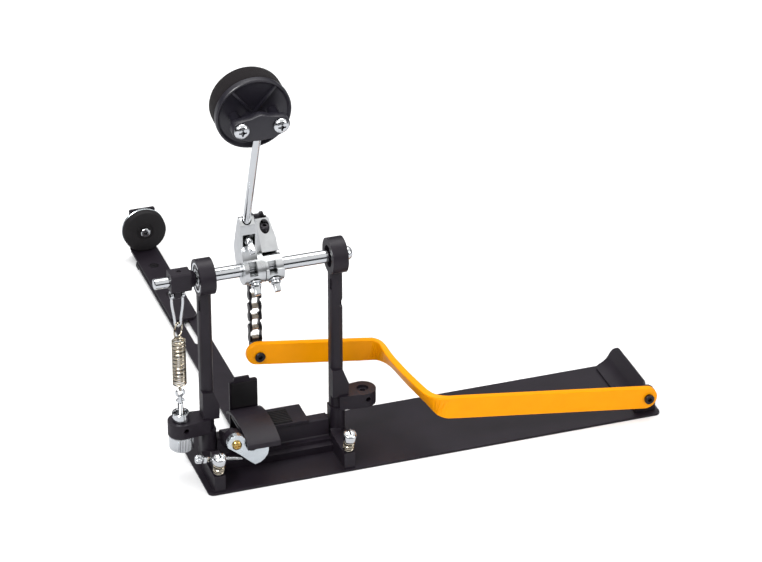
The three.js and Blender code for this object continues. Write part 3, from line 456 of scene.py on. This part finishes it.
def tension_spring():
    box = [drafted(c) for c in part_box("tension_spring")]
    low = box[0].z
    wire, radius, turns = 0.78, 6.6, 23
    base = at(SPRING_X, SHAFT_Y, 0)
    coil = helix(base, Z, radius, low + wire, COIL_TOP - wire, turns, 22)
    closing = []                                     # the last turn winds in to meet the loop
    for t in range(1, 9):
        r, a = radius - 5.2 * t / 8, t * 0.8
        closing.append(at(SPRING_X + r * math.cos(a), SHAFT_Y + r * math.sin(a), COIL_TOP - wire + 0.35 * t))
    loop_radius = 8.2
    loop_centre = at(SPRING_X, SHAFT_Y, box[1].z - 0.95 - loop_radius)
    slant = Vector((0.7071, 0.7071, 0))
    top_loop = ring_points(loop_centre, -Z, slant, loop_radius, 30, 385, 40)
    foot_centre = at(SPRING_X, SHAFT_Y, low - 3.0)
    foot_loop = ring_points(foot_centre, Z, Y, 3.4, 30, 330)
    whole = merged(tube(coil + closing, wire, 8), tube(top_loop, 0.9, 8), tube(foot_loop, wire, 8))
    obj = piece("tension_coil", whole, None, "nickel_spring", ["tension_spring"])
    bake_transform(obj)


def spring_hardware():
    pin_z, bend_z, half, neck = SHAFT_Z - PIN_DROP, SHAFT_Z - 49.0, 5.9, 3.0
    drop = [(half, pin_z - 3.6), (half, pin_z - 8), (half - 0.2, pin_z - 12), (half - 0.8, pin_z - 17),
            (half - 1.6, pin_z - 22), (half - 2.3, pin_z - 27), (neck + 0.15, pin_z - 31)]
    left = [at(SPRING_X - u, SHAFT_Y, v) for u, v in drop]
    right = [at(SPRING_X + u, SHAFT_Y, v) for u, v in reversed(drop)]
    bend = [at(u, SHAFT_Y, v) for u, v in arc(SPRING_X, bend_z, neck, 180, 360, 12)]
    eye_ring = [(3.0, -1.3), (4.2, -1.3), (4.5, 0), (4.2, 1.3), (3.0, 1.3), (3.0, -1.3)]
    eyes = [lathe(eye_ring, at(SPRING_X + s * half, SHAFT_Y, pin_z), X, 28) for s in (-1, 1)]
    wire = merged(tube(left + bend + right, 1.35, 12), *eyes)
    piece("stirrup_wire", wire, "stirrup", "chrome", ["spring_stirrup"])

    stem = [(0, 25.5), (2.4, 25.5), *thread(3.0, 26, 82, 1.0, 0.4), (2.4, 83), (2.0, 86), (2.2, 90.4),
            (0, 90.4)]
    eye = tube(ring_points(at(SPRING_X, SHAFT_Y, EYE_Z), X, Z, 4.0)[:-1], 1.3, 10, closed=True)
    wings = slab([(-4.6, 84), (4.6, 84), (4.6, 85.4), (2.4, 87.4), (-2.4, 87.4), (-4.6, 85.4)],
                 frame_on(at(SPRING_X, SHAFT_Y + 1.2, 0), X, Z), 2.4, 0.3)
    whole = merged(lathe(stem, at(SPRING_X, SHAFT_Y, 0), Z, 24), eye, wings)
    piece("eye_rod", whole, "frame", "chrome", ["spring_eye_rod"])

    cup = [(3.4, 61.8), (8.6, 61.8), (9.1, 62.4), (9.1, 70.6), (8.7, 71), (6.9, 71), (6.5, 70.4), (6.2, 66),
           (3.4, 66), (3.4, 61.8)]
    slot_cut = block((SPRING_X - 12, SHAFT_Y - 1.6, 67.4), (SPRING_X + 12, SHAFT_Y + 1.6, 73))
    slotted = carved(lathe(cup, at(SPRING_X, SHAFT_Y, 0), Z, 48), slot_cut)
    piece("cup_nut", slotted, "frame", "chrome", ["spring_cup_nut"])
    knob = [(3.4, 28), (11.4, 28), (12.9, 29.6), (12.9, 43.2), (11.6, 45), (3.4, 45), (3.4, 28)]
    knurled = lathe(knob, at(SPRING_X, SHAFT_Y, 0), Z, 288, 48, 0.7)
    piece("thumb_nut", knurled, "spring_nut", "chrome", ["spring_thumb_nut"])


# ---- spurs ----
def spurs():
    axis = Vector((0, -math.sin(SPUR_TILT), math.cos(SPUR_TILT)))
    for side in ("left", "right"):
        x = middle(f"{side}_spur_screw").x
        origin = at(x, SPUR_Y, SPUR_Z)
        profile = [(0, -18.4), (0.7, -18.2), (2.5, -14), *thread(3.0, -13.8, 17, 1.0, 0.4), (2.6, 17.8),
                   (6.4, 17.8), (7.2, 18.6), (7.2, 23.6), (6.6, 25.2), (5, 26.4), (2.5, 26.9), (0, 27)]
        cut_low, cut_high = (x - 1.1, -12, 44.6), (x + 1.1, 24, 60)
        head = carved(lathe(profile, origin, axis, 40), block(cut_low, cut_high))
        piece(f"{side}_spur", head, f"{side}_spur", "chrome", [f"{side}_spur_screw"])
        coil = helix(origin, axis, 5.1, 3.1, 16.8, 5.5)
        obj = piece(f"{side}_spur_coil", tube(coil, 0.8, 8), None, "nickel_spring", [f"{side}_spur_spring"])
        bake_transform(obj)


# ---- chain: figure-of-eight plates, rollers and riveted pins ----
def link_outline():
    """One side plate seen flat, lying along u, with a narrow waist."""
    r, waist, half = 4.5, 0.62, CHAIN_PITCH / 2
    right = arc(half, 0, r, -115, 115, 12)
    left = arc(-half, 0, r, 65, 295, 12)
    return right + [(1.2, r * waist), (-1.2, r * waist)] + left + [(-1.2, -r * waist), (1.2, -r * waist)]


def chain_link(place, wide):
    """One link about its middle, z along it and x across the chain; wide links carry the pins."""
    gap = 5.35 if wide else 3.7
    parts = []
    shift = Matrix.Translation((0, 0, -LINK_THICK * MM))
    for x in (-gap - LINK_THICK, gap):
        local = place @ frame_on(Vector((x * MM, 0, 0)), Z, Y)
        parts.append(slab(link_outline(), local @ shift, LINK_THICK, 0.25, 1))
    if wide:
        rivet = [(0, -6.85), (1.2, -6.85), (1.7, -6.4), (1.7, 6.4), (1.2, 6.85), (0, 6.85)]
        for e in (-1, 1):
            centre = place @ Vector((0, 0, e * CHAIN_PITCH / 2 * MM))
            parts.append(lathe(rivet, centre, (place.to_3x3() @ X).normalized(), 16))
    return merged(*parts)


def roller(place, e):
    """The roller round the pin at one end of a link, e = -1 or 1."""
    centre = place @ Vector((0, 0, e * CHAIN_PITCH / 2 * MM))
    across = (place.to_3x3() @ X).normalized()
    return lathe([(0, -3.7), (2.5, -3.7), (2.8, -3.3), (2.8, 3.3), (2.5, 3.7), (0, 3.7)], centre, across, 24)


def chain():
    step = CHAIN_PITCH / CHAIN_RADIUS

    def on_cam(k):
        a = (k - 0.5) * step
        centre = shaft_point(CHAIN_X, CHAIN_RADIUS * math.cos(a), CHAIN_RADIUS * math.sin(a))
        return Matrix.Translation(centre) @ Matrix.Rotation(a, 4, "X")

    def hanging(i):
        return Matrix.Translation(shaft_point(CHAIN_X, CHAIN_RADIUS, -(i + 0.5) * CHAIN_PITCH))

    for k in (1, 2, 3):
        place, wide = on_cam(k), k % 2 == 0
        piece(f"link_{k}", chain_link(place, wide), f"link_{k}", "dark_steel", [f"chain_link_{k}"])
        piece(f"link_{k}_roller", roller(place, -1), f"link_{k}", "dark_steel", finish=LINK_STEEL)
    hinge = Matrix.Translation((0, 0, -CHAIN_PITCH / 2 * MM))
    place = on_cam(4) @ hinge @ Matrix.Rotation(TOP_LINK_DIP, 4, "X") @ hinge.inverted()
    piece("wrap_link", chain_link(place, True), "shaft", "dark_steel", ["chain_wrap"])
    piece("wrap_rollers", merged(roller(place, -1), roller(place, 1)), "shaft", "dark_steel")
    places = [hanging(i) for i in range(9)]
    plates = [chain_link(p, i % 2 == 0) for i, p in enumerate(places)]
    piece("run_links", merged(*plates), "chain", "dark_steel", ["chain_run"])
    piece("run_rollers", merged(*[roller(p, -1) for p in places]), "chain", "dark_steel", finish=LINK_STEEL)


# ---- screws with driver recesses ----
def socket_head(name, origin, axis, radius, height, shank, length, body, slot_name, replaced, knurl=0):
    """Cap screw: head stands out along axis from origin, shank runs back."""
    profile = [(0, -length), (shank, -length), (shank, 0), (radius - 0.2, 0), (radius, 0.3),
               (radius, height - 0.7), (radius - 0.7, height), (0, height)]
    head = lathe(profile, origin, axis, 96 if knurl else 40, knurl, 0.25)
    hexagon = arc(0, 0, radius * 0.5, 0, 300, 5)
    place = turn_matrix(origin + Vector(axis).normalized() * (height - radius * 0.55) * MM, axis)
    piece(name, carved(head, slab(hexagon, place, radius)), body, slot_name, replaced)


def screws():
    bolt = [drafted(c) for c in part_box("lever_pivot_bolt")]
    x, z, face = LEVER_PIVOT_X, LEVER_PIVOT_Z, -0.2
    socket_head("pivot_screw", at(x, face, z), -Y, 5.3, 3.4, 3.5, bolt[1].y - face, "frame", "dark_steel",
                ["lever_pivot_bolt"])
    nut = slab(arc(0, 0, 6.2, 0, 300, 5), frame_on(at(x, 11.3, z), Z, X), 4.9, 0.5)
    piece("pivot_nut", nut, "frame", "dark_steel")
    low = drafted(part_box("chain_bolt")[0]).y
    origin = at(CHAIN_X, CHAIN_BOLT_FACE, CHAIN_BOLT_Z)
    socket_head("chain_screw", origin, -Y, 5.5, CHAIN_BOLT_FACE - low, 3, 22, "lever", "dark_steel",
                ["chain_bolt"])
    origin = shaft_point(*CAM_SCREW_SPOT) - CAM_SCREW_AXIS * 7 * MM
    socket_head("cam_screw", origin, CAM_SCREW_AXIS, 4.75, 8, 2.4, 9, "shaft", "dark_steel",
                ["cam_cap_screw"], 32)
    disc = [drafted(c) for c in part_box("disc_screw")]
    seat = DISC_SCREW_SEAT
    origin = at(DISC_X, seat, DISC_Z)
    socket_head("disc_hex_screw", origin, -Y, 5.5, seat - disc[0].y, 2.9, disc[1].y - seat, "arm", "chrome",
                ["disc_screw"])
    head = [(0, 0), (2.4, 0), (2.4, 14), (5.1, 14), (5.15, 15.2), (4.4, 16.3), (3, 17), (0, 17.1)]
    hook = drafted(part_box("hook_screw")[0])
    centre = middle("hook_screw")
    origin = at(centre.x, hook.y + 17.2, centre.z)
    cuts = [block((centre.x - 3, hook.y - 2, centre.z - 0.6), (centre.x + 3, hook.y + 1.7, centre.z + 0.6)),
            block((centre.x - 0.6, hook.y - 2, centre.z - 3), (centre.x + 0.6, hook.y + 1.7, centre.z + 3))]
    piece("brass_screw", carved(lathe(head, origin, -Y, 40), *cuts), "frame", "brass", ["hook_screw"])


def clamp_screw():
    start, end = at(*CLAMP_SCREW_START), at(*CLAMP_SCREW_END)
    length = (end - start).length / MM
    axis = (end - start).normalized()
    knob = [(0, 0.3), (3.6, 0), (4.4, 0.8), (4.4, 5.4), (3.6, 6), (2.1, 6.2),
            *thread(2.3, 14.2, length - 1.4, 0.9, 0.35), (1.6, length), (0, length)]
    collar = slab(arc(0, 0, 4.6, 45, 315, 3), turn_matrix(start + axis * 8 * MM, axis), 6, 0.5)
    knurled = lathe(knob, start, axis, 96, 24, 0.5)
    piece("thumb_screw", merged(knurled, collar), "clamp_screw", "chrome", ["clamp_bolt"])


def square_bolts():
    axis = CLAMP_BOLT_AXIS
    rim = [(2, 15.3), (6.6, 15.3), (6.95, 15.7), (6.95, 16.8), (6.5, 17.1), (2, 17.1), (2, 15.3)]
    for name, x in (("beater_clamp_bolt", 67), ("cam_clamp_bolt", 88)):
        base = shaft_point(x)
        washer = lathe(rim, base, axis, 48)
        collar = lathe([(0, 17), (4.9, 17), (5.2, 17.6), (5.2, 19.4), (4.6, 20.4), (0, 20.4)], base, axis, 40)
        square = slab(arc(0, 0, 4.3, 45, 315, 3), turn_matrix(base + axis * 20 * MM, axis), 8.7, 0.6, 3)
        piece(f"{name}_head", merged(washer, collar, square), "shaft", "chrome", [name])
    p_axis = Vector((0, math.cos(LEAN), math.sin(LEAN)))
    q_axis = Vector((0, -math.sin(LEAN), math.cos(LEAN)))
    origin = shaft_point(ROD_X) + q_axis * KEY_BOLT_HEIGHT * MM
    inner = ROD_OFFSET - 4.6
    shank = lathe([(0, -inner), (2.3, -inner), (2.3, -10), (0, -10)], origin, -p_axis, 24)
    ring = [(0, -13), (3.7, -13), (4.0, -12.5), (4.0, -8), (3.5, -7.2), (0, -7.2)]
    collar = lathe(ring, origin, -p_axis, 40)
    square = slab(arc(0, 0, 3.9, 45, 315, 3), turn_matrix(origin + p_axis * 8 * MM, -p_axis), 14, 0.6, 3)
    piece("key_bolt", merged(shank, collar, square), "shaft", "chrome", ["rod_key_bolt"])


# ---- beater ----
def leaned(x, p, q):
    """A point p behind the shaft's axis and q along the leaning rod."""
    return shaft_point(x, p * math.cos(LEAN) - q * math.sin(LEAN), p * math.sin(LEAN) + q * math.cos(LEAN))


def beater():
    bottom, top = leaned(ROD_X, ROD_OFFSET, ROD_FOOT), leaned(ROD_X, ROD_OFFSET, ROD_TOP)
    length = (top - bottom).length / MM
    rod = [(0, 0), (3.2, 0), (4, 0.8), (4, length - 0.8), (3.2, length), (0, length)]
    piece("rod", lathe(rod, bottom, top - bottom, 48), "beater", "chrome", ["beater_rod"])

    up = Vector((0, -math.sin(HEAD_TILT), math.cos(HEAD_TILT)))
    front = -Vector((0, math.cos(HEAD_TILT), math.sin(HEAD_TILT)))
    centre = shaft_point(ROD_X, HEAD_Y, HEAD_Z)
    place = frame_on(centre, X, up)                  # its z runs to the player

    dish = [(0, -3), (37.6, -3), (38.8, -2.4), (39, -1.2), (38.8, 3.6), (38.2, 4.4), (37, 4.5), (36.4, 3.8),
            (34.6, 1.6), (30, 0.6), (0, 0.5)]
    crown = [*arc(-19.6, -1, 10, 250, 122, 12), (-15.6, 9.3), (-9.4, 9.9), (-4.6, 11.9), (0, 12.9),
             (4.6, 11.9), (9.4, 9.9), (15.6, 9.3), *arc(19.6, -1, 10, 58, -70, 12), (12.6, -14.8), (0, -16),
             (-12.6, -14.8)]
    plate = slab(crown, place @ Matrix.Translation((0, 0, 19 * MM)), 9.4, 0.9, 3)
    core = slab([(-14, -13), (14, -13), (14, -3), (7, 2), (-7, 2), (-14, -3)], place, 19.6, 0.4)
    posts = [lathe([(0, 0), (5, 0), (5, 19.5), (0, 19.5)], place @ Vector((a * MM, -1 * MM, 0)), front, 32)
             for a in (-HEAD_SCREW_X, HEAD_SCREW_X)]
    strip = [(2, -1.3), (36, -1.3), (36, 1.3), (2, 1.3)]
    ribs = [slab(strip, place @ Matrix.Rotation(math.radians(angle), 4, "Z"), 3.6, 0.4, 2)
            for angle in (52, 128)]
    bore = [(0, 0), (0, 38.2), (4.15, 38.2), (4.15, 0)]
    bored = [carved(part, lathe(bore, leaned(ROD_X, ROD_OFFSET, 150), top - bottom, 32))
             for part in (lathe(dish, centre, front, HEAD_ROUND), core, plate)]
    piece("beater_shell", merged(*bored, *posts, *ribs), "beater", "plastic", ["beater_hub"], smooth=30)

    deep = FOAM_DEPTH
    pad = [(0, 0), (35.4, 0), (37.2, 0.7), (37.9, 2.2), (38.1, 8), (38.1, 15), (37.9, deep - 3.4),
           (37.0, deep - 1.4), (35.2, deep - 0.3), (26, deep), (0, deep + 0.1)]
    turned_pad = lathe(pad, centre - front * 3 * MM, -front, HEAD_ROUND)
    obj = piece("beater_pad", turned_pad, "beater", "foam", ["beater_foam"], smooth=60)

    pan = [(0, 10), (2.5, 10), (2.5, 28.7), (7.4, 28.7), (8, 29.3), (7.9, 30.3), (7.1, 31.7), (5.6, 32.7),
           (3, 33.3), (0, 33.5)]
    for side, a in (("left", -HEAD_SCREW_X), ("right", HEAD_SCREW_X)):
        origin = place @ Vector((a * MM, -1 * MM, 0))
        level = turn_matrix(origin + front * 31 * MM, front)
        cross = [slab([(-u, -v), (u, -v), (u, v), (-u, v)], level, 6) for u, v in ((4, 0.85), (0.85, 4))]
        pit = lathe([(0, 30.4), (1.4, 30.4), (2.4, 34), (0, 34)], origin, front, 16)
        screw = carved(lathe(pan, origin, front, 48), *cross, pit)
        piece(f"pan_screw_{side}", screw, "beater", "chrome", [f"beater_screw_{side}"])


# ---- grip disc ----
def grip_disc():
    low, high = (drafted(c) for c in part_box("disc_plate"))
    centre = middle("disc_plate")
    w = high.y - low.y
    rim = [(3.4, 0), (24.8, 0), (25.35, 0.5), (25.35, w - 0.5), (24.8, w), (3.4, w), (3.4, 0)]
    piece("disc_rim", lathe(rim, at(centre.x, low.y, centre.z), Y, 96), "arm", "zinc", ["disc_plate"])
    low, high = (drafted(c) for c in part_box("grip_disc"))
    w = high.y - low.y
    face = [(3.4, 1.2), (9, 1.2), (9.6, 0.2), (10.4, 0), (22.6, 0), (24, 0.5), (24.9, 1.8), (25, 3),
            (24.6, 3.6), (24.6, 4.4), (25, 5), (25, w), (3.4, w), (3.4, 1.2)]
    piece("disc_rubber", lathe(face, at(centre.x, low.y, centre.z), Y, 96), "arm", "rubber", ["grip_disc"])


def grip_pad():
    low, high = (drafted(c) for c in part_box("grip_pad"))
    ribs = 8
    step = (high.y - low.y) / ribs
    parts = [block((low.x, low.y, low.z), (high.x, high.y, high.z - 0.8), 0.2)]
    for i in range(ribs):
        y = low.y + (i + 0.2) * step
        parts.append(block((low.x + 0.6, y, low.z + 0.6), (high.x - 0.6, y + 0.6 * step, high.z), 0.2))
    piece("ribbed_pad", merged(*parts), "frame", "rubber", ["grip_pad"])


shaft_pieces()
bearings()
tension_spring()
spring_hardware()
spurs()
chain()
screws()
clamp_screw()
square_bolts()
beater()
grip_disc()
grip_pad()


# ---- floor, light and camera ----
def stage():
    def sheet(name, wide, tall, finish):
        mesh = bpy.data.meshes.new(name)
        corners = [(-wide, -tall, 0), (wide, -tall, 0), (wide, tall, 0), (-wide, tall, 0)]
        mesh.from_pydata(corners, [], [(0, 1, 2, 3)])
        mesh.materials.append(finish)
        obj = bpy.data.objects.new(name, mesh)
        bpy.context.scene.collection.objects.link(obj)
        return obj

    paper = material("floor", (0.93, 0.93, 0.93), 0.8, vary=0.01, broad=2, bump=0.0)
    nodes, links = paper.node_tree.nodes, paper.node_tree.links
    ray, tone = nodes.new("ShaderNodeLightPath"), nodes.new("ShaderNodeMix")
    tone.data_type = "RGBA"
    tone.inputs["A"].default_value = (0.93, 0.93, 0.93, 1)
    tone.inputs["B"].default_value = (0.46, 0.465, 0.48, 1)    # calmer where metal mirrors it
    links.new(ray.outputs["Is Glossy Ray"], tone.inputs["Factor"])
    links.new(tone.outputs["Result"], nodes["Principled BSDF"].inputs["Base Color"])
    floor = sheet("floor", FLOOR_REACH, FLOOR_REACH, paper)
    floor.location.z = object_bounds()[0].z - FLOOR_GAP
    floor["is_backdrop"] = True

    world = bpy.data.worlds.new("studio")
    bpy.context.scene.world = world
    world.use_nodes = True
    nodes, links = world.node_tree.nodes, world.node_tree.links
    coord = nodes.new("ShaderNodeTexCoord")
    split = nodes.new("ShaderNodeSeparateXYZ")
    ramp = nodes.new("ShaderNodeValToRGB")
    links.new(coord.outputs["Generated"], split.inputs["Vector"])
    links.new(split.outputs["Z"], ramp.inputs["Fac"])
    stops = ramp.color_ramp.elements
    stops[0].position, stops[0].color = 0.0, (0.02, 0.02, 0.022, 1)
    stops[1].position, stops[1].color = 0.62, (1, 1, 1, 1)
    for height, shade in ((0.2, 0.05), (0.34, 0.35), (0.42, 1.0)):
        stop = stops.new(height)
        stop.color = (shade, shade, shade * 1.04, 1)
    kinds = ("LightPath", "MapRange", "Mix")
    ray, level, seen = (nodes.new(f"ShaderNode{kind}") for kind in kinds)
    seen.data_type = "RGBA"
    seen.inputs["B"].default_value = (1.1, 1.1, 1.1, 1)
    links.new(ray.outputs["Is Camera Ray"], seen.inputs["Factor"])
    links.new(ramp.outputs["Color"], seen.inputs["A"])
    links.new(seen.outputs["Result"], nodes["Background"].inputs["Color"])
    level.inputs["To Min"].default_value, level.inputs["To Max"].default_value = 0.85, 0.72
    links.new(ray.outputs["Is Glossy Ray"], level.inputs["Value"])
    links.new(level.outputs["Result"], nodes["Background"].inputs["Strength"])

    def softbox(name, location, target, size, power):
        light = bpy.data.lights.new(name, "AREA")
        light.shape, light.size, light.size_y, light.energy = "RECTANGLE", size[0], size[1], power
        lamp = bpy.data.objects.new(name, light)
        lamp.location = location
        lamp.rotation_euler = (Vector(target) - Vector(location)).to_track_quat("-Z", "Y").to_euler()
        bpy.context.scene.collection.objects.link(lamp)

    def dark_card(name, location, target, size):
        """A black board out of sight that gives bright metal its dark edges."""
        card = sheet(name, size[0] / 2, size[1] / 2, material(name, (0.01, 0.01, 0.012), 0.8, bump=0))
        card.location = location
        card.rotation_euler = (Vector(target) - Vector(location)).to_track_quat("Z", "Y").to_euler()
        card.visible_camera = False
        card.visible_diffuse = False
        card.visible_shadow = False
        card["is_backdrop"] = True

    dark_card("left_card", (-1.3, 0.2, 0.45), (0, 0, 0.2), (0.5, 1.0))
    dark_card("right_card", (1.3, -0.1, 0.4), (0, 0, 0.2), (0.5, 1.0))
    dark_card("back_card", (0.0, 1.6, 0.9), (0, 0, 0.2), (1.6, 0.35))
    dark_card("front_card", (-0.1, -1.5, 0.12), (0, 0, 0.2), (1.4, 0.22))

    softbox("key", (-1.4, -1.2, 2.0), (0, 0, 0.15), (0.9, 0.9), 42)
    softbox("fill", (1.8, -1.6, 1.2), (0, 0, 0.15), (1.4, 1.4), 14)
    softbox("top", (0.2, 0.8, 2.4), (0, 0, 0), (2, 1.2), 30)


def camera():
    forward = Vector(CAMERA_FORWARD).normalized()
    right = forward.cross(Vector(CAMERA_UP)).normalized()
    up = right.cross(forward)
    data = bpy.data.cameras.new("view")
    data.sensor_width, data.lens = SENSOR_WIDTH, CAMERA_LENS
    data.clip_start, data.clip_end = 0.1, 40
    cam = bpy.data.objects.new("view", data)
    turn = Matrix((right, up, -forward)).transposed().to_4x4()
    cam.matrix_world = Matrix.Translation(at(*CAMERA_SPOT)) @ turn
    bpy.context.scene.collection.objects.link(cam)
    bpy.context.scene.camera = cam
    bpy.context.scene.view_settings.view_transform = "Standard"
    bpy.context.scene.view_settings.look = "None"


stage()
camera()
